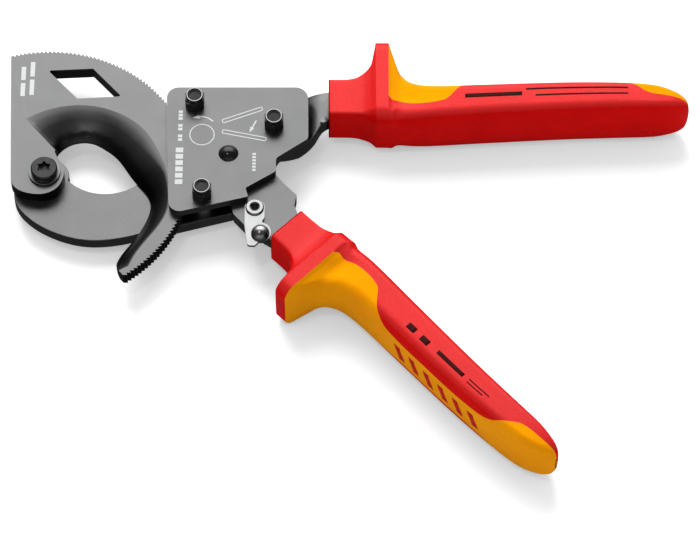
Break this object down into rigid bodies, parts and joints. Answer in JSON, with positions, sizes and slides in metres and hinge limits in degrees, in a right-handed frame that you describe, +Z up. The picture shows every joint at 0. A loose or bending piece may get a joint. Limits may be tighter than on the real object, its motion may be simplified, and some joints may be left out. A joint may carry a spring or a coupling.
{
  "type": "cable cutter",
  "caption": "Ratchet cable cutter with a toothed swinging blade, a fixed hooked jaw, a bolted side plate and two insulated two-colour grips with guards.",
  "frame": {"origin": "on the rest plane, directly below the axis that the blade turns on; the face of the blade pivot's closed nut lies in that plane", "axes": "+X from the blade pivot towards the handle ends, along the fixed grip; +Y across the tool towards the fixed grip; +Z up, out of the side plate"},
  "size_m": [0.2562, 0.1767, 0.0259],
  "materials": {
    "blackened_steel": "satin blackened",
    "black_hardware": "glossy black oxide",
    "plain_steel": "turned",
    "spring_wire": "drawn wire",
    "black_nylon": "matt",
    "bright_plating": "bright zinc or nickel plate",
    "dark_chrome": "polished",
    "red_grip": "fine grained moulding",
    "yellow_grip": "fine grained moulding"
  },
  "bodies": {
    "frame": {"fixed_jaw_frame": "blackened_steel", "front_plate": "blackened_steel", "blade_pivot_screw": "black_hardware", "blade_pivot_washer": "blackened_steel", "blade_pivot_bush": "plain_steel", "blade_pivot_nut": "black_hardware", "handle_pivot_rivet": "black_hardware", "handle_pivot_bush": "plain_steel", "plate_bolts": "black_hardware", "plate_spacers": "plain_steel", "lock_nuts": "black_hardware", "nut_inserts": "black_nylon", "spring_post": "plain_steel", "holding_pawl_spring": "spring_wire", "handle_opening_spring": "spring_wire", "fixed_grip_shell": "red_grip", "fixed_grip_insert": "yellow_grip"},
    "blade": {"moving_blade": "blackened_steel"},
    "moving_handle": {"moving_handle_tang": "blackened_steel", "drive_pawl_pin": "plain_steel", "drive_pawl_spring": "spring_wire", "lock_lever_rivet": "bright_plating", "moving_grip_shell": "red_grip", "moving_grip_insert": "yellow_grip"},
    "drive_pawl": {"drive_pawl": "plain_steel"},
    "holding_pawl": {"holding_pawl": "plain_steel"},
    "lock_lever": {"lock_lever": "bright_plating", "lock_lever_knob": "dark_chrome"}
  },
  "joints": [
    {"name": "blade_swing", "type": "hinge", "parent": "frame", "child": "blade", "pos_m": [0, 0, 0.0128], "axis": [0, 0, 1], "range_deg": [-63.84, 94.08]},
    {"name": "handle_swing", "type": "hinge", "parent": "frame", "child": "moving_handle", "pos_m": [0.069, 0.0062, 0.0128], "axis": [0, 0, 1], "range_deg": [-3, 36]},
    {"name": "drive_pawl_tilt", "type": "hinge", "parent": "moving_handle", "child": "drive_pawl", "pos_m": [0.06225, 0.01424, 0.013], "axis": [0, 0, -1], "range_deg": [-5, 5.4]},
    {"name": "holding_pawl_tilt", "type": "hinge", "parent": "frame", "child": "holding_pawl", "pos_m": [0.056, 0.0285, 0.011], "axis": [0, 0, -1], "range_deg": [-5, 5.4]},
    {"name": "lock_lever_swing", "type": "hinge", "parent": "moving_handle", "child": "lock_lever", "pos_m": [0.0791, -0.0161, 0.0164], "axis": [0, 0, 1], "range_deg": [-55, 10]}
  ]
}
